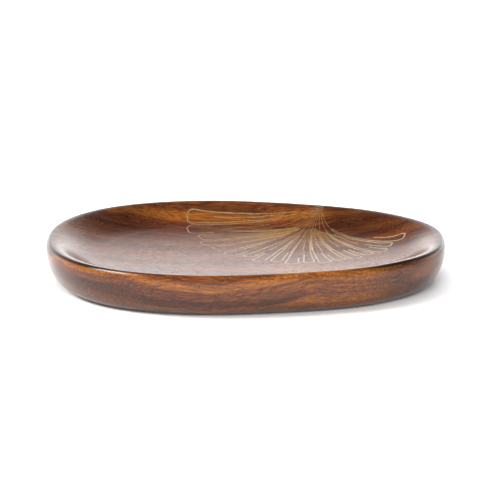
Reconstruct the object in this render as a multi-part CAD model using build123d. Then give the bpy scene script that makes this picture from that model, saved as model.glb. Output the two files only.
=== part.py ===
from build123d import *
import os
import math
from math import sin, cos, pi, radians, hypot, atan2

# Shallow carved hardwood dish: an oval, pebble-like outline that is a little
# fuller towards -X, a rounded side that tucks in under the widest line, a
# narrow rounded lip, a smooth hollow and a flat underside.  A fan-shaped leaf
# is drawn on the hollow in thin raised lines of pale gold lacquer.
# Units mm, +Z up, origin at the centre of the footprint on the resting plane,
# +X along the length.

# ---------------------------------------------------------------- dimensions
HEIGHT = 28.0            # resting plane to crest of the lip
HOLLOW_DEPTH = 15.1      # crest to the lowest point of the hollow
CREST_INSET = 2.7        # widest line to the crest, in plan
LINE_THICKNESS = 0.20    # how far the lacquer lines stand off the hollow
LEAF_BASE = (38.6, 69.6)  # where the veins of the leaf spring from
LEAF_RADIUS = 76.0       # base of the leaf to its margin
LINE_WIDTH = 0.85        # widest part of a main line
FINE_WIDTH = 0.50        # widest part of a fine vein

# Plan outline at the widest line: polar radius at these angles from +X,
# mirrored about the X axis.
OUTLINE = [(0, 125.2), (10, 125.0), (20, 121.6), (30, 115.4), (42, 108.0),
           (55, 100.3), (70, 95.0), (85, 94.4), (100, 98.0), (115, 104.6),
           (128, 111.7), (140, 118.4), (150, 122.3), (160, 124.4),
           (170, 125.0), (180, 124.8)]
MIN_RADIUS = 94.4        # smallest radius of the outline
SKIRT = 22.0             # plan band that follows the outline at equal width

# Side, from the flat underside up to the soft arris: (inset, height)
SIDE = [(17.5, 0.0), (15.0, 0.3), (12.8, 1.0), (9.9, 2.5), (6.8, 5.0),
        (3.9, 9.0), (2.0, 13.0), (0.7, 17.5), (0.12, 21.0), (0.0, 23.6)]
# Lip, from the arris up to the crest: (inset, height)
LIP = [(0.0, 23.6), (0.22, 25.2), (0.8, 26.7), (1.5, 27.6), (2.5, 28.0)]
# Hollow: (inset from the crest, drop below the crest)
HOLLOW = [(0, 0), (1.5, 0.14), (3, 0.52), (5, 1.55), (8, 3.75), (11, 6.1),
          (14, 8.15), (18, 10.1), (23, 11.5), (29, 12.6), (37, 13.5),
          (48, 14.25), (60, 14.75), (75, 15.05), (86, 15.1)]


# ------------------------------------------------------------------ outline
def periodic_cubic(knots, values):
    """Periodic natural cubic through (knots, values) over 360 degrees."""
    n = len(knots)
    h = [(knots[(i + 1) % n] - knots[i]) % 360.0 for i in range(n)]
    # second derivatives from the cyclic system, by Gauss-Seidel
    m = [0.0] * n
    for _ in range(400):
        for i in range(n):
            hp, hn = h[i - 1], h[i]
            rhs = 6 * ((values[(i + 1) % n] - values[i]) / hn
                       - (values[i] - values[i - 1]) / hp)
            m[i] = (rhs - hp * m[i - 1] - hn * m[(i + 1) % n]) / (2 * (hp + hn))

    def f(deg):
        d = deg % 360.0
        i = n - 1
        for j in range(n):
            if (d - knots[j]) % 360.0 < h[j]:
                i = j
                break
        a, b = values[i], values[(i + 1) % n]
        t = (d - knots[i]) % 360.0
        u = h[i] - t
        return (m[i] * u ** 3 / (6 * h[i]) + m[(i + 1) % n] * t ** 3 / (6 * h[i])
                + (a / h[i] - m[i] * h[i] / 6) * u
                + (b / h[i] - m[(i + 1) % n] * h[i] / 6) * t)
    return f


_k = [a for a, r in OUTLINE] + [360 - a for a, r in OUTLINE[-2:0:-1]]
_v = [r for a, r in OUTLINE] + [r for a, r in OUTLINE[-2:0:-1]]
radius = periodic_cubic([float(a) for a in _k], _v)


def widen(deg):
    """The lip and the wall of the hollow are broader at the two ends."""
    return 1.0 + 0.35 * cos(radians(deg)) ** 2


def ring_radius(deg, inset):
    r = radius(deg)
    if inset <= CREST_INSET:
        return r - inset
    skirt = CREST_INSET + (SKIRT - CREST_INSET) * widen(deg)
    if inset <= SKIRT:
        return r - CREST_INSET - (inset - CREST_INSET) * widen(deg)
    return (r - skirt) * (MIN_RADIUS - inset) / (MIN_RADIUS - SKIRT)


def ring(inset, z, n=60):
    pts = []
    for i in range(n):
        d = 360.0 * i / n
        r = ring_radius(d, inset)
        pts.append(Vector(r * cos(radians(d)), r * sin(radians(d)), z))
    return Wire([Edge.make_spline(pts, periodic=True)])


def loft_rings(profile):
    return Solid.make_loft([ring(s, z) for s, z in profile])


# ---------------------------------------------------------------- dish body
lower = loft_rings(SIDE)
upper = loft_rings(LIP)
blank = lower.fuse(upper)
bowl = loft_rings([(CREST_INSET + s, HEIGHT - d) for s, d in HOLLOW])
body = blank.cut(bowl)
body = body.solids().sort_by(SortBy.VOLUME)[-1]


def probe(x, y):
    """Height of the hollow at (x, y), taken from the solid itself."""
    hits = body.find_intersection_points(Axis((x, y, 0), (0, 0, 1)))
    return max(p.Z for p, n in hits)


# The section of the hollow, read off the solid along one radius: the same
# section holds all round, as a function of the inset.
_steps = [3.6 + 1.0 * i for i in range(20)] + [24.0 + 3.0 * i for i in range(22)]
SECTION = [(s, probe(0.0, ring_radius(90.0, s))) for s in _steps]


def surface_z(x, y):
    deg = atan2(y, x) * 180 / pi
    r, big = hypot(x, y), radius(deg)
    k = widen(deg)
    s = CREST_INSET + (big - r - CREST_INSET) / k
    if s > SKIRT:
        skirt = CREST_INSET + (SKIRT - CREST_INSET) * k
        s = MIN_RADIUS - r * (MIN_RADIUS - SKIRT) / (big - skirt)
    s = min(max(s, SECTION[0][0]), SECTION[-1][0])
    for (s0, z0), (s1, z1) in zip(SECTION, SECTION[1:]):
        if s <= s1:
            return z0 + (z1 - z0) * (s - s0) / (s1 - s0)
    return SECTION[-1][1]


# ---------------------------------------------------------------- leaf lines
AXIS = 251.0             # direction in which the leaf hangs from its base
FIRST_R = 13.0           # the lines are thinnest this far from the base


# stalk top on the lip, base of the blade, and the margin of the leaf.  Every
# vein leaves the stalk in one bundle and flares out to its own direction.
STALK_TOP = (46.9, 81.2)


def leaf_dir(deg):
    return math.cos(math.radians(deg)), math.sin(math.radians(deg))


def vein_point(deg, rho, t):
    """Point at t in 0..1 along the vein that ends in direction deg at rho."""
    u = (deg - AXIS) / 79.0
    ex, ey = leaf_dir(AXIS - 90.0)
    k = 1.0 - 0.45 * abs(u)
    p0 = (STALK_TOP[0] - 2.3 * u * ex, STALK_TOP[1] - 2.3 * u * ey)
    bx = STALK_TOP[0] + (LEAF_BASE[0] - STALK_TOP[0]) * 1.25 * k
    by = STALK_TOP[1] + (LEAF_BASE[1] - STALK_TOP[1]) * 1.25 * k
    p1 = (bx - 3.6 * u * ex, by - 3.6 * u * ey)
    bend = 0.78 + 0.33 * min(1.0, max(0.0, (204.0 - deg) / 26.0))
    cx, cy = leaf_dir(AXIS + (deg - AXIS) * bend + 1.5 * math.sin(deg * 0.17))
    p2 = (LEAF_BASE[0] + 0.50 * rho * cx, LEAF_BASE[1] + 0.50 * rho * cy)
    tx, ty = leaf_dir(deg)
    p3 = (LEAF_BASE[0] + rho * tx, LEAF_BASE[1] + rho * ty)
    a, b, c, d = (1 - t) ** 3, 3 * t * (1 - t) ** 2, 3 * t * t * (1 - t), t ** 3
    return (a * p0[0] + b * p1[0] + c * p2[0] + d * p3[0],
            a * p0[1] + b * p1[1] + c * p2[1] + d * p3[1])


def finger_path(deg, half, rho, t0, t1, n=12):
    """Two veins joined round a finger of the margin, open towards the stalk."""
    q = 1.0 - (3.0 + 0.25 * half) / rho
    pts = [vein_point(deg - half, rho, t0 + (q - t0) * i / (n - 1)) for i in range(n)]
    for f, dr in ((-0.93, 0.22), (-0.62, -0.05), (-0.18, -0.12), (0.25, 0.02), (0.66, 0.10), (0.95, 0.42)):
        tx, ty = leaf_dir(deg + f * half)
        rr = rho - dr * (3.0 + 0.25 * half)
        pts.append((LEAF_BASE[0] + rr * tx, LEAF_BASE[1] + rr * ty))
    q2 = q - 0.02
    pts += [vein_point(deg + half, rho, t1 + (q2 - t1) * (n - 1 - i) / (n - 1)) for i in range(n)]
    return pts


def vein_path(deg, t1, t0, hook, n=12):
    """One free vein that stops short of the margin with a slight curl."""
    pts = [vein_point(deg, 75.0, t0 + (t1 - t0) * i / (n - 1)) for i in range(n)]
    pts.append(vein_point(deg + 0.25 * hook, 75.0, t1 + 0.015))
    pts.append(vein_point(deg + 0.70 * hook, 75.0, t1 + 0.020))
    return pts


# direction, half width, tip radius, where each of the two veins starts (0..1)
LEFT = [(172.6, 4.0, 78.5, 0.30, 0.42), (183.4, 4.9, 77.2, 0.42, 0.86),
        (195.2, 4.4, 71.5, 0.84, 0.40), (206.2, 4.2, 74.0, 0.42, 0.88),
        (218.0, 4.4, 73.0, 0.84, 0.40), (228.6, 3.4, 75.5, 0.42, 0.88)]
CENTRE = [(238.2, 2.8, 71.5, 0.40, 0.86), (246.4, 2.9, 77.5, 0.84, 0.38),
          (254.8, 2.6, 75.0, 0.42, 0.80), (263.0, 2.9, 78.5, 0.36, 0.88),
          (271.2, 2.5, 75.5, 0.82, 0.42), (279.0, 2.9, 77.0, 0.38, 0.78)]
RIGHT = [(287.0, 2.7, 74.5, 0.86, 0.38), (295.0, 2.6, 76.5, 0.40, 0.80),
         (303.0, 2.6, 73.0, 0.82, 0.42), (311.0, 2.8, 74.5, 0.40, 0.86),
         (319.2, 2.6, 70.0, 0.84, 0.44), (327.4, 2.6, 72.5, 0.42, 0.80)]
# free fine veins: direction, where it ends and where it starts (0..1)
FINE_LEFT = [(171.6, 0.86, 0.44), (183.6, 0.80, 0.52), (189.2, 0.76, 0.50),
             (200.6, 0.70, 0.50), (212.2, 0.78, 0.48), (223.4, 0.74, 0.50)]
FINE_CENTRE = [(242.2, 0.76, 0.50), (250.5, 0.72, 0.48), (258.8, 0.78, 0.50),
               (267.1, 0.74, 0.50), (275.0, 0.72, 0.50)]
FINE_RIGHT = [(283.2, 0.76, 0.50), (291.0, 0.74, 0.50), (299.0, 0.72, 0.50),
              (307.0, 0.74, 0.50), (315.2, 0.74, 0.50)]


def line_solid(rows):
    """A thin strip lying on the hollow.  rows: left and right plan points at
    each station along the line."""
    wires = []
    for (xl, yl), (xr, yr) in rows:
        zl, zr = surface_z(xl, yl), surface_z(xr, yr)
        p = [Vector(xl, yl, zl), Vector(xr, yr, zr),
             Vector(xr, yr, zr + LINE_THICKNESS), Vector(xl, yl, zl + LINE_THICKNESS)]
        wires.append(Wire([Edge.make_line(p[i], p[(i + 1) % 4]) for i in range(4)]))
    return Solid.make_loft(wires, ruled=True)


def stroke(pts, width, thin):
    """A brush-like line along pts, thin where it starts at the base of the
    leaf and full width towards the margin."""
    rows = []
    n = len(pts)
    for i, (x, y) in enumerate(pts):
        x0, y0 = pts[max(0, i - 1)]
        x1, y1 = pts[min(n - 1, i + 1)]
        tx, ty = x1 - x0, y1 - y0
        ln = hypot(tx, ty)
        r = hypot(x - LEAF_BASE[0], y - LEAF_BASE[1])
        w = thin + (width - thin) * min(1.0, max(0.0, (r - FIRST_R) / 38.0))
        w *= 0.5
        rows.append(((x - ty / ln * w, y + tx / ln * w),
                     (x + ty / ln * w, y - tx / ln * w)))
    return line_solid(rows)


nodes = {}
for name, fingers, fine in (("left", LEFT, FINE_LEFT), ("centre", CENTRE, FINE_CENTRE),
                            ("right", RIGHT, FINE_RIGHT)):
    nodes["leaf_veins_" + name] = [stroke(finger_path(*f), LINE_WIDTH, 0.26)
                                   for f in fingers]
    nodes["leaf_fine_veins_" + name] = [
        stroke(vein_path(d, t1, t0, 1.0 if k % 2 else -1.0), FINE_WIDTH, 0.24)
        for k, (d, t1, t0) in enumerate(fine)]

# stalk: a narrow tapering strip from the base of the leaf up to the lip
sx, sy = STALK_TOP
dx, dy = sx - LEAF_BASE[0], sy - LEAF_BASE[1]
ln = hypot(dx, dy)
ux, uy = dx / ln, dy / ln
stalk_rows = []
for t, w in ((-1.0, 1.9), (1.5, 1.9), (4.0, 1.9),
             (6.5, 1.9), (9.0, 2.0), (11.0, 2.1), (12.5, 2.2), (ln, 2.3)):
    bow = 0.9 * sin(pi * (t + 6) / (ln + 6))
    cx, cy = LEAF_BASE[0] + ux * t + uy * bow, LEAF_BASE[1] + uy * t - ux * bow
    stalk_rows.append(((cx - uy * w, cy + ux * w), (cx + uy * w, cy - ux * w)))
nodes["leaf_stalk"] = [line_solid(stalk_rows)]

# ------------------------------------------------------------------- export
os.makedirs("parts", exist_ok=True)
for f in os.listdir("parts"):
    if f.endswith(".step"):
        os.remove(os.path.join("parts", f))
body.label = "dish_body"
export_step(body, "parts/dish_body.step")
for name, solids in nodes.items():
    group = Compound(children=list(solids)) if len(solids) > 1 else solids[0]
    export_step(group, "parts/%s.step" % name)
    print(name, len(solids), round(sum(s.volume for s in solids), 1),
          all(s.is_valid for s in solids))
print("body", round(body.volume, 1), body.is_valid, len(body.faces()), body.bounding_box())
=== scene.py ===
import bpy, math
import numpy as np
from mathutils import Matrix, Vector


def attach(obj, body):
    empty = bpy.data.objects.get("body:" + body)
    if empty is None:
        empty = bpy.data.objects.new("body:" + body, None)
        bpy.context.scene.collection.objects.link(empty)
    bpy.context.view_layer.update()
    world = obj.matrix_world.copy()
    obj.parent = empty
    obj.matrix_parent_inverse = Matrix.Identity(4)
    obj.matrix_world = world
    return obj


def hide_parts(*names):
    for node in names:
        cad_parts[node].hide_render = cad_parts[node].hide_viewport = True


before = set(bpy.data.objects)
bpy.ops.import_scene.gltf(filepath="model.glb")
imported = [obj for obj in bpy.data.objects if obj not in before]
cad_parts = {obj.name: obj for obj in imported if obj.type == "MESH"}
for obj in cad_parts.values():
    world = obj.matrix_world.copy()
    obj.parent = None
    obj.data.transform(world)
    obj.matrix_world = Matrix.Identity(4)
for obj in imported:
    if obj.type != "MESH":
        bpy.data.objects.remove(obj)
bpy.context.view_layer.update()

MM = 0.001
# ------------------------------------------------------------------ design
HEIGHT = 28.0
CREST_INSET = 2.7
LEAF_BASE = (38.6, 69.6)
AXIS = 251.0
FIRST_R = 13.0
OUTLINE = [(0, 125.2), (10, 125.0), (20, 121.6), (30, 115.4), (42, 108.0),
           (55, 100.3), (70, 95.0), (85, 94.4), (100, 98.0), (115, 104.6),
           (128, 111.7), (140, 118.4), (150, 122.3), (160, 124.4),
           (170, 125.0), (180, 124.8)]
MIN_RADIUS = 94.4
SKIRT = 22.0
SIDE = [(17.5, 0.0), (15.0, 0.3), (12.8, 1.0), (9.9, 2.5), (6.8, 5.0),
        (3.9, 9.0), (2.0, 13.0), (0.7, 17.5), (0.12, 21.0), (0.0, 23.6)]
LIP = [(0.0, 23.6), (0.22, 25.2), (0.8, 26.7), (1.5, 27.6), (2.5, 28.0)]
HOLLOW = [(0, 0), (1.5, 0.14), (3, 0.52), (5, 1.55), (8, 3.75), (11, 6.1),
          (14, 8.15), (18, 10.1), (23, 11.5), (29, 12.6), (37, 13.5),
          (48, 14.25), (60, 14.75), (75, 15.05), (86, 15.1), (91.7, 15.1)]


# ------------------------------------------------------------------ helpers
def natural_spline(x, y, xq, periodic=False):
    """Cubic spline through (x, y), evaluated at xq, with plain numpy."""
    x, y, xq = np.asarray(x, float), np.asarray(y, float), np.asarray(xq, float)
    n = len(x)
    A = np.zeros((n, n)); b = np.zeros(n)
    if periodic:                       # x[-1] is one period after x[0]
        n -= 1
        A = np.zeros((n, n)); b = np.zeros(n)
        h = np.diff(x)
        for i in range(n):
            hp, hn = h[i - 1], h[i]
            A[i, i - 1] += hp; A[i, i] += 2 * (hp + hn); A[i, (i + 1) % n] += hn
            b[i] = 6 * ((y[i + 1] - y[i]) / hn - (y[i] - y[i - 1 if i else n - 1]) / hp)
        m = np.linalg.solve(A, b); m = np.append(m, m[0])
    else:
        h = np.diff(x)
        A[0, 0] = A[-1, -1] = 1
        for i in range(1, n - 1):
            A[i, i - 1] = h[i - 1]; A[i, i] = 2 * (h[i - 1] + h[i]); A[i, i + 1] = h[i]
            b[i] = 6 * ((y[i + 1] - y[i]) / h[i] - (y[i] - y[i - 1]) / h[i - 1])
        m = np.linalg.solve(A, b)
    k = np.clip(np.searchsorted(x, xq, side="right") - 1, 0, len(x) - 2)
    h = np.diff(x)[k]; t = xq - x[k]; u = h - t
    return (m[k] * u ** 3 + m[k + 1] * t ** 3) / (6 * h) + (y[k] / h - m[k] * h / 6) * u \
        + (y[k + 1] / h - m[k + 1] * h / 6) * t


_ka = np.array([a for a, r in OUTLINE] + [360 - a for a, r in OUTLINE[-2:0:-1]] + [360.0], float)
_kr = np.array([r for a, r in OUTLINE] + [r for a, r in OUTLINE[-2:0:-1]] + [OUTLINE[0][1]], float)
_fine = np.linspace(0, 360, 2881)
_rad = natural_spline(_ka, _kr, _fine, periodic=True)


def radius(deg):
    return np.interp(np.mod(deg, 360.0), _fine, _rad)


def widen(deg):
    """The lip and the wall of the hollow are broader at the two ends."""
    return 1.0 + 0.35 * np.cos(np.radians(deg)) ** 2


def ring_radius(deg, inset):
    r, k = radius(deg), widen(deg)
    skirt = CREST_INSET + (SKIRT - CREST_INSET) * k
    near = np.where(inset <= CREST_INSET, r - inset, r - CREST_INSET - (inset - CREST_INSET) * k)
    return np.where(inset <= SKIRT, near, (r - skirt) * (MIN_RADIUS - inset) / (MIN_RADIUS - SKIRT))


def dense(points, step):
    """Smooth curve through plan/height points by chord length, evenly stepped."""
    p = np.array(points, float)
    d = np.concatenate([[0], np.cumsum(np.hypot(*np.diff(p, axis=0).T))])
    q = np.arange(0, d[-1] + 1e-9, step); q = np.append(q, d[-1])
    return np.column_stack([natural_spline(d, p[:, 0], q), natural_spline(d, p[:, 1], q)])


def soften(p, sigma_at):
    """Blur a polyline along its length with a local width, keeping its ends."""
    d = np.concatenate([[0], np.cumsum(np.hypot(*np.diff(p, axis=0).T))])
    out = p.copy()
    for i in range(1, len(p) - 1):
        s = sigma_at(p[i])
        s = min(s, d[i] / 2.5 + 1e-6, (d[-1] - d[i]) / 2.5 + 1e-6)
        lo, hi = np.searchsorted(d, (d[i] - 3 * s, d[i] + 3 * s))
        w = np.exp(-0.5 * ((d[lo:hi] - d[i]) / s) ** 2)
        out[i] = (p[lo:hi] * w[:, None]).sum(0) / w.sum()
    return out


# outer section, widest line and lip as one curve; the hollow as another
side = dense(SIDE, 0.15)
lip = dense(LIP, 0.15)
hol = dense([(CREST_INSET + s, HEIGHT - d) for s, d in HOLLOW], 0.15)
whole = np.vstack([side, lip[1:], hol])
whole = soften(whole, lambda p: 0.45 if (p[0] < 4.2 and p[1] > 23) else
               (4.0 if p[0] > 26 else (1.4 if p[0] > 6 and p[1] > 12 else 0.7)))
crest_i = int(np.argmax(whole[:, 1]))
hol_s = whole[crest_i:, 0]; hol_z = whole[crest_i:, 1]


def surf_z(x, y):
    """Height of the hollow over plan points, mm."""
    x, y = np.asarray(x, float), np.asarray(y, float)
    deg = np.degrees(np.arctan2(y, x)); r = np.hypot(x, y); big = radius(deg)
    k = widen(deg)
    skirt = CREST_INSET + (SKIRT - CREST_INSET) * k
    s = np.where(big - r > CREST_INSET, CREST_INSET + (big - r - CREST_INSET) / k, big - r)
    s = np.where(s > SKIRT, MIN_RADIUS - r * (MIN_RADIUS - SKIRT) / (big - skirt), s)
    return np.interp(s, hol_s, hol_z)


def new_object(name, verts, faces, smooth=True):
    me = bpy.data.meshes.new(name)
    me.from_pydata([tuple(v) for v in verts], [], faces)
    me.validate(); me.update()
    if smooth:
        me.polygons.foreach_set("use_smooth", [True] * len(me.polygons))
    ob = bpy.data.objects.new(name, me)
    bpy.context.scene.collection.objects.link(ob)
    return ob


# ------------------------------------------------------------------ dish mesh
def build_dish():
    NT = 720
    deg = np.arange(NT) * 360.0 / NT
    ca, sa = np.cos(np.radians(deg)), np.sin(np.radians(deg))
    d = np.concatenate([[0], np.cumsum(np.hypot(*np.diff(whole, axis=0).T))])
    stations = [0.0]
    while stations[-1] < d[-1]:
        s, z = np.interp(stations[-1], d, whole[:, 0]), np.interp(stations[-1], d, whole[:, 1])
        if s < 5.5 and z > 22.5: st = 0.22
        elif z < 5 and s > 6 and stations[-1] < d[crest_i]: st = 0.7
        elif s < 26: st = 0.8
        else: st = 1.8
        stations.append(stations[-1] + st)
    stations[-1] = d[-1]
    rows = []
    for f in (0.02, 0.25, 0.5, 0.75, 0.93):            # underside
        r = (radius(deg) - SIDE[0][0]) * f
        rows.append((r, np.zeros(NT), np.full(NT, 60.0), np.zeros(NT)))
    for st in stations:
        s, z = np.interp(st, d, whole[:, 0]), np.interp(st, d, whole[:, 1])
        inner = 1.0 if st > d[crest_i] else 0.0
        r = ring_radius(deg, np.full(NT, s)) if inner else radius(deg) - s
        rows.append((np.maximum(r, 0.6), np.full(NT, z), np.full(NT, s), np.full(NT, inner)))
    verts, inset, inner, hgt = [], [], [], []
    for r, z, s, inn in rows:
        verts.append(np.column_stack([r * ca, r * sa, z]))
        inset.append(s); inner.append(inn)
    nr = len(rows)
    V = np.vstack(verts) * MM
    I = np.concatenate(inset); N = np.concatenate(inner)
    faces = []
    for i in range(nr - 1):
        a, b = i * NT, (i + 1) * NT
        for j in range(NT):
            k = (j + 1) % NT
            faces.append((a + j, a + k, b + k, b + j))
    faces.append(tuple(range(NT - 1, -1, -1)))
    faces.append(tuple((nr - 1) * NT + j for j in range(NT)))
    ob = new_object("dish", V, faces)
    at = ob.data.attributes.new("inset", "FLOAT", "POINT"); at.data.foreach_set("value", I.astype(np.float32))
    at = ob.data.attributes.new("inner", "FLOAT", "POINT"); at.data.foreach_set("value", N.astype(np.float32))
    return ob


# ------------------------------------------------------------------ leaf lines
# stalk top on the lip, base of the blade, and the margin of the leaf.  Every
# vein leaves the stalk in one bundle and flares out to its own direction.
STALK_TOP = (46.9, 81.2)


def leaf_dir(deg):
    return math.cos(math.radians(deg)), math.sin(math.radians(deg))


def vein_point(deg, rho, t):
    """Point at t in 0..1 along the vein that ends in direction deg at rho."""
    u = (deg - AXIS) / 79.0
    ex, ey = leaf_dir(AXIS - 90.0)
    k = 1.0 - 0.45 * abs(u)
    p0 = (STALK_TOP[0] - 2.3 * u * ex, STALK_TOP[1] - 2.3 * u * ey)
    bx = STALK_TOP[0] + (LEAF_BASE[0] - STALK_TOP[0]) * 1.25 * k
    by = STALK_TOP[1] + (LEAF_BASE[1] - STALK_TOP[1]) * 1.25 * k
    p1 = (bx - 3.6 * u * ex, by - 3.6 * u * ey)
    bend = 0.78 + 0.33 * min(1.0, max(0.0, (204.0 - deg) / 26.0))
    cx, cy = leaf_dir(AXIS + (deg - AXIS) * bend + 1.5 * math.sin(deg * 0.17))
    p2 = (LEAF_BASE[0] + 0.50 * rho * cx, LEAF_BASE[1] + 0.50 * rho * cy)
    tx, ty = leaf_dir(deg)
    p3 = (LEAF_BASE[0] + rho * tx, LEAF_BASE[1] + rho * ty)
    a, b, c, d = (1 - t) ** 3, 3 * t * (1 - t) ** 2, 3 * t * t * (1 - t), t ** 3
    return (a * p0[0] + b * p1[0] + c * p2[0] + d * p3[0],
            a * p0[1] + b * p1[1] + c * p2[1] + d * p3[1])


def finger_path(deg, half, rho, t0, t1, n=12):
    """Two veins joined round a finger of the margin, open towards the stalk."""
    q = 1.0 - (3.0 + 0.25 * half) / rho
    pts = [vein_point(deg - half, rho, t0 + (q - t0) * i / (n - 1)) for i in range(n)]
    for f, dr in ((-0.93, 0.22), (-0.62, -0.05), (-0.18, -0.12), (0.25, 0.02), (0.66, 0.10), (0.95, 0.42)):
        tx, ty = leaf_dir(deg + f * half)
        rr = rho - dr * (3.0 + 0.25 * half)
        pts.append((LEAF_BASE[0] + rr * tx, LEAF_BASE[1] + rr * ty))
    q2 = q - 0.02
    pts += [vein_point(deg + half, rho, t1 + (q2 - t1) * (n - 1 - i) / (n - 1)) for i in range(n)]
    return pts


def vein_path(deg, t1, t0, hook, n=12):
    """One free vein that stops short of the margin with a slight curl."""
    pts = [vein_point(deg, 75.0, t0 + (t1 - t0) * i / (n - 1)) for i in range(n)]
    pts.append(vein_point(deg + 0.25 * hook, 75.0, t1 + 0.015))
    pts.append(vein_point(deg + 0.70 * hook, 75.0, t1 + 0.020))
    return pts


# direction, half width, tip radius, where each of the two veins starts (0..1)
LEFT = [(172.6, 4.0, 78.5, 0.30, 0.42), (183.4, 4.9, 77.2, 0.42, 0.86),
        (195.2, 4.4, 71.5, 0.84, 0.40), (206.2, 4.2, 74.0, 0.42, 0.88),
        (218.0, 4.4, 73.0, 0.84, 0.40), (228.6, 3.4, 75.5, 0.42, 0.88)]
CENTRE = [(238.2, 2.8, 71.5, 0.40, 0.86), (246.4, 2.9, 77.5, 0.84, 0.38),
          (254.8, 2.6, 75.0, 0.42, 0.80), (263.0, 2.9, 78.5, 0.36, 0.88),
          (271.2, 2.5, 75.5, 0.82, 0.42), (279.0, 2.9, 77.0, 0.38, 0.78)]
RIGHT = [(287.0, 2.7, 74.5, 0.86, 0.38), (295.0, 2.6, 76.5, 0.40, 0.80),
         (303.0, 2.6, 73.0, 0.82, 0.42), (311.0, 2.8, 74.5, 0.40, 0.86),
         (319.2, 2.6, 70.0, 0.84, 0.44), (327.4, 2.6, 72.5, 0.42, 0.80)]
# free fine veins: direction, where it ends and where it starts (0..1)
FINE_LEFT = [(171.6, 0.86, 0.44), (183.6, 0.80, 0.52), (189.2, 0.76, 0.50),
             (200.6, 0.70, 0.50), (212.2, 0.78, 0.48), (223.4, 0.74, 0.50)]
FINE_CENTRE = [(242.2, 0.76, 0.50), (250.5, 0.72, 0.48), (258.8, 0.78, 0.50),
               (267.1, 0.74, 0.50), (275.0, 0.72, 0.50)]
FINE_RIGHT = [(283.2, 0.76, 0.50), (291.0, 0.74, 0.50), (299.0, 0.72, 0.50),
              (307.0, 0.74, 0.50), (315.2, 0.74, 0.50)]


def strand(pts, width_at, height, wander=0.0):
    """Low rounded strip along pts on the hollow: verts and faces, mm."""
    c = dense(pts, 0.7)
    if wander:
        i = np.arange(len(c)) * 0.7
        t = np.gradient(c, axis=0); t /= np.hypot(t[:, 0], t[:, 1])[:, None]
        a = wander * (np.sin(i * 0.21 + pts[-1][0]) + 0.6 * np.sin(i * 0.47 + pts[-1][1])) * np.clip(np.minimum(i, i[-1] - i) / 8.0, 0, 1)
        c = c + np.column_stack([-t[:, 1], t[:, 0]]) * a[:, None]
    t = np.gradient(c, axis=0); t /= np.hypot(t[:, 0], t[:, 1])[:, None]
    nrm = np.column_stack([-t[:, 1], t[:, 0]])
    w = width_at(c) * 0.5
    prof = [(-1, -0.5), (-0.97, 0.85), (-0.8, 1.0), (0.8, 1.0), (0.97, 0.85), (1, -0.5)]
    rings = []
    for f, h in prof:
        xy = c + nrm * (w * f)[:, None]
        hh = height * h if h > 0 else 0.1 * h
        taper = np.clip(np.minimum(np.arange(len(c)), np.arange(len(c))[::-1]) / 2.0, 0.25, 1)
        rings.append(np.column_stack([xy, surf_z(xy[:, 0], xy[:, 1]) + hh * (taper if h > 0 else 1)]))
    m = len(prof)
    V = np.stack(rings, axis=1).reshape(-1, 3)
    F = []
    for i in range(len(c) - 1):
        for j in range(m):
            k = (j + 1) % m
            F.append((i * m + j, (i + 1) * m + j, (i + 1) * m + k, i * m + k))
    F.append(tuple(range(m)))
    F.append(tuple((len(c) - 1) * m + j for j in range(m - 1, -1, -1)))
    return V, F


def gather(name, parts):
    V, F, o = [], [], 0
    for v, f in parts:
        V.append(v); F += [tuple(i + o for i in q) for q in f]; o += len(v)
    return new_object(name, np.vstack(V) * MM, F)


def width_law(full, thin):
    def f(c):
        r = np.hypot(c[:, 0] - LEAF_BASE[0], c[:, 1] - LEAF_BASE[1])
        w = thin + (full - thin) * np.clip((r - FIRST_R) / 38.0, 0, 1)
        i = np.arange(len(c))
        return w * (1 + 0.16 * np.sin(i * 0.31 + c[0, 0]) * np.sin(i * 0.083 + c[0, 1]))
    return f


dish = build_dish()
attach(dish, "root"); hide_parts("dish_body")

leaf_objs = []
for tag, fingers, fine in (("left", LEFT, FINE_LEFT), ("centre", CENTRE, FINE_CENTRE), ("right", RIGHT, FINE_RIGHT)):
    main = [strand(finger_path(*f), width_law(0.85, 0.24), 0.05, 0.10) for f in fingers]
    ob = gather("leaf_lines_" + tag, main)
    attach(ob, "root"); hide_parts("leaf_veins_" + tag)
    leaf_objs.append(ob)
    thin = [strand(vein_path(d, t1, t0, 1.0 if k % 2 else -1.0), width_law(0.50, 0.20), 0.045, 0.10)
            for k, (d, t1, t0) in enumerate(fine)]
    ob = gather("leaf_fine_lines_" + tag, thin)
    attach(ob, "root"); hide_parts("leaf_fine_veins_" + tag)
    leaf_objs.append(ob)

# stalk: several fine brush lines side by side, as one tapering band
sx, sy = 46.9, 81.2
ln = math.hypot(sx - LEAF_BASE[0], sy - LEAF_BASE[1])
ux, uy = (sx - LEAF_BASE[0]) / ln, (sy - LEAF_BASE[1]) / ln
stalk = []
for k, deg in enumerate((176.0, 190.0, 203.0, 216.0, 229.0, 240.0, 250.0, 260.0, 271.0, 283.0, 296.0, 309.0, 322.0)):
    end = 0.40 + 0.05 * math.sin(k * 2.3)
    pts = [vein_point(deg, 76.0, 0.01 + (end - 0.01) * i / 9.0) for i in range(10)]
    stalk.append(strand(pts, lambda c: 0.13 + 0.12 * np.linspace(0, 1, len(c)), 0.04))
ob = gather("leaf_stalk_lines", stalk)
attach(ob, "root"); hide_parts("leaf_stalk")
leaf_objs.append(ob)


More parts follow.
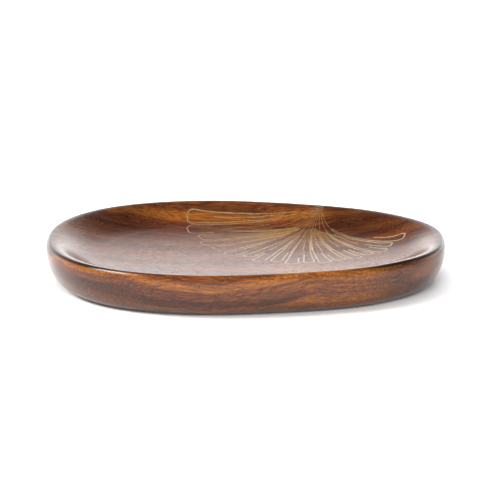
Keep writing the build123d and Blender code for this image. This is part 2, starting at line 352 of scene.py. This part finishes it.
# ------------------------------------------------------------------ materials
class Tree:
    def __init__(self, mat):
        mat.use_nodes = True
        self.nt = mat.node_tree
        self.nt.nodes.clear()

    def n(self, kind, **kw):
        node = self.nt.nodes.new(kind)
        for k, v in kw.items():
            setattr(node, k, v)
        return node

    def link(self, a, b):
        self.nt.links.new(a, b)

    def math(self, op, a, b=None, c=None, clamp=False):
        m = self.n("ShaderNodeMath", operation=op); m.use_clamp = clamp
        for i, v in enumerate((a, b, c)):
            if v is None: continue
            if isinstance(v, (int, float)): m.inputs[i].default_value = v
            else: self.link(v, m.inputs[i])
        return m.outputs[0]

    def smooth(self, v, lo, hi, a=0.0, b=1.0):
        m = self.n("ShaderNodeMapRange"); m.interpolation_type = "SMOOTHSTEP"
        self.link(v, m.inputs["Value"])
        m.inputs["From Min"].default_value = lo; m.inputs["From Max"].default_value = hi
        m.inputs["To Min"].default_value = a; m.inputs["To Max"].default_value = b
        return m.outputs[0]

    def mix(self, f, a, b, blend="MIX"):
        m = self.n("ShaderNodeMix", data_type="RGBA", blend_type=blend)
        m.clamp_factor = True
        for sock, v in ((m.inputs[0], f), (m.inputs[6], a), (m.inputs[7], b)):
            if isinstance(v, (int, float)): sock.default_value = v
            elif isinstance(v, tuple): sock.default_value = (*v, 1.0)
            else: self.link(v, sock)
        return m.outputs[2]

    def vec(self, x, y, z):
        c = self.n("ShaderNodeCombineXYZ")
        for i, v in enumerate((x, y, z)):
            if isinstance(v, (int, float)): c.inputs[i].default_value = v
            else: self.link(v, c.inputs[i])
        return c.outputs[0]

    def noise(self, vec, scale=1.0, detail=2.0, rough=0.5, dist=0.0):
        t = self.n("ShaderNodeTexNoise"); t.noise_dimensions = "3D"
        self.link(vec, t.inputs["Vector"])
        t.inputs["Scale"].default_value = scale; t.inputs["Detail"].default_value = detail
        t.inputs["Roughness"].default_value = rough; t.inputs["Distortion"].default_value = dist
        return t.outputs["Fac"]


def position(t):
    """Object-space position in mm, as three sockets."""
    tc = t.n("ShaderNodeTexCoord")
    sep = t.n("ShaderNodeSeparateXYZ")
    sc = t.n("ShaderNodeVectorMath", operation="SCALE"); sc.inputs["Scale"].default_value = 1000.0
    t.link(tc.outputs["Object"], sc.inputs[0]); t.link(sc.outputs[0], sep.inputs[0])
    return sc.outputs[0], sep.outputs[0], sep.outputs[1], sep.outputs[2]


def wood_material():
    mat = bpy.data.materials.new("lacquered_hardwood"); t = Tree(mat)
    P, X, Y, Z = position(t)
    inset = t.n("ShaderNodeAttribute", attribute_name="inset").outputs["Fac"]
    inner = t.n("ShaderNodeAttribute", attribute_name="inner").outputs["Fac"]
    # slow wander of the grain
    wob = t.noise(t.vec(t.math("MULTIPLY", X, 0.011), t.math("MULTIPLY", Y, 0.02), t.math("MULTIPLY", Z, 0.03)), 1.0, 2.0)
    wob2 = t.noise(t.vec(t.math("MULTIPLY", X, 0.02), t.math("MULTIPLY", Y, 0.03), 4.7), 1.0, 1.0)
    yy = t.math("ADD", Y, t.math("MULTIPLY", t.math("SUBTRACT", wob, 0.5), 34.0))
    zz = t.math("ADD", Z, t.math("MULTIPLY", t.math("SUBTRACT", wob2, 0.5), 14.0))
    # growth bands: distance from a pith well below the front edge of the board
    r2 = t.math("ADD", t.math("POWER", t.math("ADD", yy, 70.0), 2.0), t.math("POWER", t.math("ADD", zz, 85.0), 2.0))
    rr = t.math("SQRT", r2)
    band = t.noise(t.vec(t.math("MULTIPLY", X, 0.0035), t.math("MULTIPLY", rr, 0.085), 0.0), 1.0, 3.0, 0.55)
    band2 = t.noise(t.vec(t.math("MULTIPLY", X, 0.010), t.math("MULTIPLY", rr, 0.34), 3.1), 1.0, 3.0, 0.6)
    streak = t.noise(t.vec(t.math("MULTIPLY", X, 0.035), t.math("MULTIPLY", yy, 0.95), t.math("MULTIPLY", zz, 0.95)), 1.0, 4.0, 0.62)
    hair = t.noise(t.vec(t.math("MULTIPLY", X, 0.10), t.math("MULTIPLY", Y, 3.4), t.math("MULTIPLY", Z, 3.4)), 1.0, 2.0, 0.6)
    pore_n = t.noise(t.vec(t.math("MULTIPLY", X, 0.33), t.math("MULTIPLY", yy, 2.1), t.math("MULTIPLY", zz, 2.1)), 1.0, 1.0, 0.5)
    pores = t.smooth(pore_n, 0.62, 0.72)
    patch = t.noise(t.vec(t.math("MULTIPLY", X, 0.018), t.math("MULTIPLY", Y, 0.028), t.math("MULTIPLY", Z, 0.05)), 1.0, 2.0, 0.5)

    mixf = t.math("ADD", t.math("MULTIPLY", band, 0.55), t.math("ADD", t.math("MULTIPLY", band2, 0.25), t.math("MULTIPLY", streak, 0.20)))
    ramp = t.n("ShaderNodeValToRGB"); t.link(mixf, ramp.inputs[0])
    cr = ramp.color_ramp
    cr.elements[0].position = 0.34; cr.elements[0].color = (0.022, 0.0070, 0.0038, 1)
    cr.elements[1].position = 0.66; cr.elements[1].color = (0.185, 0.062, 0.0085, 1)
    for pos, col in ((0.43, (0.048, 0.0130, 0.0048)), (0.50, (0.082, 0.0235, 0.0058)), (0.57, (0.126, 0.0390, 0.0070))):
        e = cr.elements.new(pos); e.color = (*col, 1)
    col = ramp.outputs[0]
    # fine figure and dark pores
    col = t.mix(t.smooth(streak, 0.40, 0.60, 0.0, 0.62), col, t.mix(1.0, col, (1.95, 1.75, 1.7), "MULTIPLY"))
    col = t.mix(t.smooth(hair, 0.42, 0.60, 0.55, 0.0), col, t.mix(1.0, col, (0.45, 0.40, 0.38), "MULTIPLY"))
    # outside: paler and yellower with open pores; hollow: darker and redder
    outer = t.math("SUBTRACT", 1.0, inner)
    col = t.mix(t.math("MULTIPLY", outer, 0.55), col, t.mix(1.0, col, (1.7, 2.0, 2.4), "MULTIPLY"))
    col = t.mix(t.math("MULTIPLY", pores, t.math("ADD", 0.35, t.math("MULTIPLY", outer, 0.55))), col, (0.018, 0.008, 0.005))
    # painted shade: the outer side is darkened towards the bottom, where it curves under
    painted_shade_low = t.math("MULTIPLY", outer, t.smooth(Z, 17.0, 1.0, 0.0, 0.62))
    col = t.mix(painted_shade_low, col, t.mix(1.0, col, (0.30, 0.27, 0.36), "MULTIPLY"))
    # painted light: a warmer, brighter band along the back wall, where it faces the front light
    wall = t.math("MULTIPLY", t.math("MULTIPLY", inner, t.smooth(Z, 14.5, 22.5)), t.math("MULTIPLY", t.smooth(Y, 10.0, 62.0), t.smooth(X, 58.0, 34.0)))
    col = t.mix(t.math("MULTIPLY", wall, t.smooth(X, -95.0, -40.0)), col, t.mix(1.0, col, (1.30, 1.42, 1.15), "MULTIPLY"))
    # painted reflection: the floor of the hollow is tinted cooler and mauve, like the pale reflected veil
    painted_veil_floor = t.math("MULTIPLY", inner, t.smooth(Z, 24.0, 13.0))
    col = t.mix(painted_veil_floor, col, t.mix(1.0, col, (0.98, 0.88, 1.15), "MULTIPLY"))
    # darker patches at the far left and back right of the hollow, and on the outside towards the right end
    dl = t.math("MULTIPLY", t.smooth(X, -40.0, -78.0), t.smooth(Y, 15.0, 65.0))
    dr = t.math("MULTIPLY", t.smooth(X, 44.0, 56.0), t.smooth(Y, 25.0, 50.0))
    de = t.math("MULTIPLY", t.smooth(X, 72.0, 96.0), outer)
    dark = t.math("MAXIMUM", t.math("MULTIPLY", dl, 0.78), t.math("MAXIMUM", t.math("MULTIPLY", dr, 0.68), t.math("MULTIPLY", de, t.smooth(patch, 0.40, 0.60, 0.15, 0.75))))
    col = t.mix(dark, col, t.mix(1.0, col, (0.36, 0.34, 0.42), "MULTIPLY"))
    # painted dark reflection along the arris, stronger at the two ends
    arris = t.math("MULTIPLY", t.smooth(Z, 26.1, 27.2), t.smooth(inset, 5.2, 3.2))
    arris = t.math("MULTIPLY", arris, t.math("ADD", 0.55, t.math("MULTIPLY", streak, 0.9)))
    ends = t.smooth(t.math("ABSOLUTE", X), 55.0, 92.0, 0.10, 0.9)
    col = t.mix(t.math("MULTIPLY", arris, ends), col, (0.010, 0.005, 0.0035))
    # gold brushed between the veins of the leaf, finest lines
    dx = t.math("SUBTRACT", X, LEAF_BASE[0]); dy = t.math("SUBTRACT", Y, LEAF_BASE[1])
    r = t.math("SQRT", t.math("ADD", t.math("MULTIPLY", dx, dx), t.math("MULTIPLY", dy, dy)))
    ax, ay = math.cos(math.radians(AXIS)), math.sin(math.radians(AXIS))
    along = t.math("ADD", t.math("MULTIPLY", dx, ax), t.math("MULTIPLY", dy, ay))
    across = t.math("ADD", t.math("MULTIPLY", dx, -ay), t.math("MULTIPLY", dy, ax))
    ang = t.math("MULTIPLY", t.math("ARCTAN2", across, along), 180 / math.pi)      # 0 on the axis
    flare = t.math("POWER", t.math("SUBTRACT", 1.0, t.math("MINIMUM", t.math("DIVIDE", r, 76.0), 1.0)), 1.7)
    g = t.math("SUBTRACT", 1.0, t.math("MULTIPLY", flare, 0.38))
    true = t.math("DIVIDE", ang, g)                                               # direction at the margin
    fan = t.math("MULTIPLY", t.smooth(true, -81.0, -77.0), t.smooth(true, 79.0, 75.0))
    gap = t.math("ADD", t.smooth(true, -22.0, -25.0), t.smooth(true, -17.5, -14.5))
    reach = t.math("MULTIPLY", t.smooth(r, 73.0, 66.0), t.smooth(r, 5.0, 9.0))
    lines = t.noise(t.vec(t.math("MULTIPLY", true, 0.95), t.math("MULTIPLY", r, 0.012), 9.2), 1.0, 1.0, 0.5)
    lines = t.smooth(lines, 0.46, 0.56)
    strength = t.math("MULTIPLY", t.smooth(r, 64.0, 10.0, 0.10, 0.95), t.math("ADD", 0.45, t.smooth(true, -20.0, -40.0, 0.0, 0.45)))
    gold = t.math("MULTIPLY", t.math("MULTIPLY", fan, gap), t.math("MULTIPLY", reach, t.math("MULTIPLY", lines, strength)))
    col = t.mix(t.math("MULTIPLY", gold, inner), col, (0.36, 0.21, 0.055))

    # gloss and relief
    rough = t.math("ADD", 0.30, t.math("ADD", t.math("MULTIPLY", hair, 0.10), t.math("MULTIPLY", pores, 0.18)))
    waves = t.noise(t.vec(t.math("MULTIPLY", X, 0.05), t.math("MULTIPLY", Y, 0.11), t.math("MULTIPLY", Z, 0.11)), 1.0, 2.0, 0.5)
    relief = t.math("SUBTRACT", t.math("ADD", t.math("MULTIPLY", waves, 0.10), t.math("MULTIPLY", streak, 0.060)),
                    t.math("ADD", t.math("MULTIPLY", pores, 0.030), t.math("MULTIPLY", hair, 0.008)))
    bump = t.n("ShaderNodeBump"); bump.inputs["Strength"].default_value = 1.0; bump.inputs["Distance"].default_value = MM
    t.link(relief, bump.inputs["Height"])
    b = t.n("ShaderNodeBsdfPrincipled")
    t.link(col, b.inputs["Base Color"]); t.link(rough, b.inputs["Roughness"]); t.link(bump.outputs[0], b.inputs["Normal"])
    b.inputs["IOR"].default_value = 1.45
    b.inputs["Specular IOR Level"].default_value = 0.0
    b.inputs["Coat Weight"].default_value = 1.0
    b.inputs["Coat Roughness"].default_value = 0.16
    b.inputs["Coat IOR"].default_value = 1.42
    t.link(bump.outputs[0], b.inputs["Coat Normal"])
    out = t.n("ShaderNodeOutputMaterial"); t.link(b.outputs[0], out.inputs[0])
    return mat


def gold_material():
    mat = bpy.data.materials.new("leaf_gold_lacquer"); t = Tree(mat)
    P, X, Y, Z = position(t)
    n1 = t.noise(P, 0.55, 3.0, 0.6)
    n2 = t.noise(P, 3.0, 2.0, 0.6)
    col = t.mix(t.smooth(n1, 0.35, 0.65), (0.25, 0.165, 0.075), (0.40, 0.30, 0.165))
    col = t.mix(t.smooth(n2, 0.55, 0.70, 0.0, 0.35), col, (0.20, 0.10, 0.035))
    quiet = t.math("MAXIMUM", t.smooth(X, 5.0, -25.0), t.smooth(Y, 25.0, 62.0))
    col = t.mix(t.math("MULTIPLY", quiet, 0.85), col, t.mix(1.0, col, (0.46, 0.42, 0.30), "MULTIPLY"))
    bump = t.n("ShaderNodeBump"); bump.inputs["Strength"].default_value = 1.0; bump.inputs["Distance"].default_value = MM * 0.02
    t.link(n2, bump.inputs["Height"])
    b = t.n("ShaderNodeBsdfPrincipled")
    t.link(col, b.inputs["Base Color"]); t.link(bump.outputs[0], b.inputs["Normal"])
    t.link(t.smooth(n2, 0.3, 0.7, 0.32, 0.50), b.inputs["Roughness"])
    b.inputs["Coat Weight"].default_value = 0.8
    b.inputs["Coat Roughness"].default_value = 0.2
    out = t.n("ShaderNodeOutputMaterial"); t.link(b.outputs[0], out.inputs[0])
    return mat


wood = wood_material(); gold = gold_material()
dish.data.materials.append(wood)
for o in leaf_objs:
    o.data.materials.append(gold)

# ------------------------------------------------------------------ stage
floor = new_object("floor", [(-6, -6, 0), (6, -6, 0), (6, 6, 0), (-6, 6, 0)], [(0, 1, 2, 3)], smooth=False)
fm = bpy.data.materials.new("floor_white"); ft = Tree(fm)
fb = ft.n("ShaderNodeBsdfDiffuse"); fb.inputs[0].default_value = (0.90, 0.90, 0.90, 1)
fo = ft.n("ShaderNodeOutputMaterial"); ft.link(fb.outputs[0], fo.inputs[0])
floor.data.materials.append(fm)

world = bpy.data.worlds.new("studio"); bpy.context.scene.world = world
wt = Tree(world)
tc = wt.n("ShaderNodeTexCoord"); sep = wt.n("ShaderNodeSeparateXYZ"); wt.link(tc.outputs["Generated"], sep.inputs[0])
wx, wy, wz = sep.outputs
sweep = wt.n("ShaderNodeValToRGB"); wt.link(wz, sweep.inputs[0])
el = sweep.color_ramp.elements                        # level by height of the sky, tenths
el[0].position = 0.0; el[0].color = (0.95, 0.95, 0.95, 1)
el[1].position = 1.0; el[1].color = (0.03, 0.03, 0.03, 1)
for pos, v in ((0.08, 0.95), (0.15, 0.92), (0.25, 0.72), (0.34, 0.46), (0.47, 0.19), (0.62, 0.05)):
    e = el.new(pos); e.color = (v, v, v, 1)
back = wt.smooth(wy, -0.05, 0.60, 0.06, 1.0)
lev = wt.math("MULTIPLY", wt.math("MULTIPLY", sweep.outputs[0], 2.7), back)
bg = wt.n("ShaderNodeBackground"); wt.link(lev, bg.inputs["Strength"])
bg.inputs["Color"].default_value = (1, 1, 1, 1)
wo = wt.n("ShaderNodeOutputWorld"); wt.link(bg.outputs[0], wo.inputs[0])


def area(name, loc, target, size, size_y, power):
    li = bpy.data.lights.new(name, "AREA"); li.shape = "RECTANGLE"; li.size = size; li.size_y = size_y; li.energy = power
    ob = bpy.data.objects.new(name, li); bpy.context.scene.collection.objects.link(ob)
    ob.location = loc
    ob.rotation_euler = (Vector(target) - Vector(loc)).to_track_quat("-Z", "Y").to_euler()
    return ob


area("softbox_left", (-1.10, -0.45, 0.95), (0, 0, 0), 0.7, 0.5, 25.0)
for name, loc, size, power in (("soft_front", (0.35, -1.9, 1.1), 1.4, 52.0), ("soft_top", (0.0, 0.1, 1.9), 1.8, 34.0)):
    lo = area(name, loc, (0, 0, 0), size, size, power)
    lo.visible_glossy = False

# ------------------------------------------------------------------ camera
D, ELEV, YAW = 2.5, math.radians(14.5), math.radians(1.5)
cam_d = bpy.data.cameras.new("camera"); cam = bpy.data.objects.new("camera", cam_d)
bpy.context.scene.collection.objects.link(cam)
pos = Vector((0, -D * math.cos(ELEV), D * math.sin(ELEV)))
pos = Vector((pos.x * math.cos(YAW) - pos.y * math.sin(YAW), pos.x * math.sin(YAW) + pos.y * math.cos(YAW), pos.z + HEIGHT * MM))
cam.location = pos
cam.rotation_euler = (Vector((0, 0, HEIGHT * MM)) - pos).to_track_quat("-Z", "Y").to_euler()
cam_d.sensor_width = 36.0
cam_d.lens = 1.596 * 2500.0 / 490.0 * 36.0
cam_d.shift_y = -(245.0 - 236.85) / 490.0
cam_d.shift_x = -0.3 / 490.0
cam_d.clip_end = 50
bpy.context.scene.camera = cam
bpy.context.scene.view_settings.view_transform = "Standard"
bpy.context.scene.view_settings.look = "None"
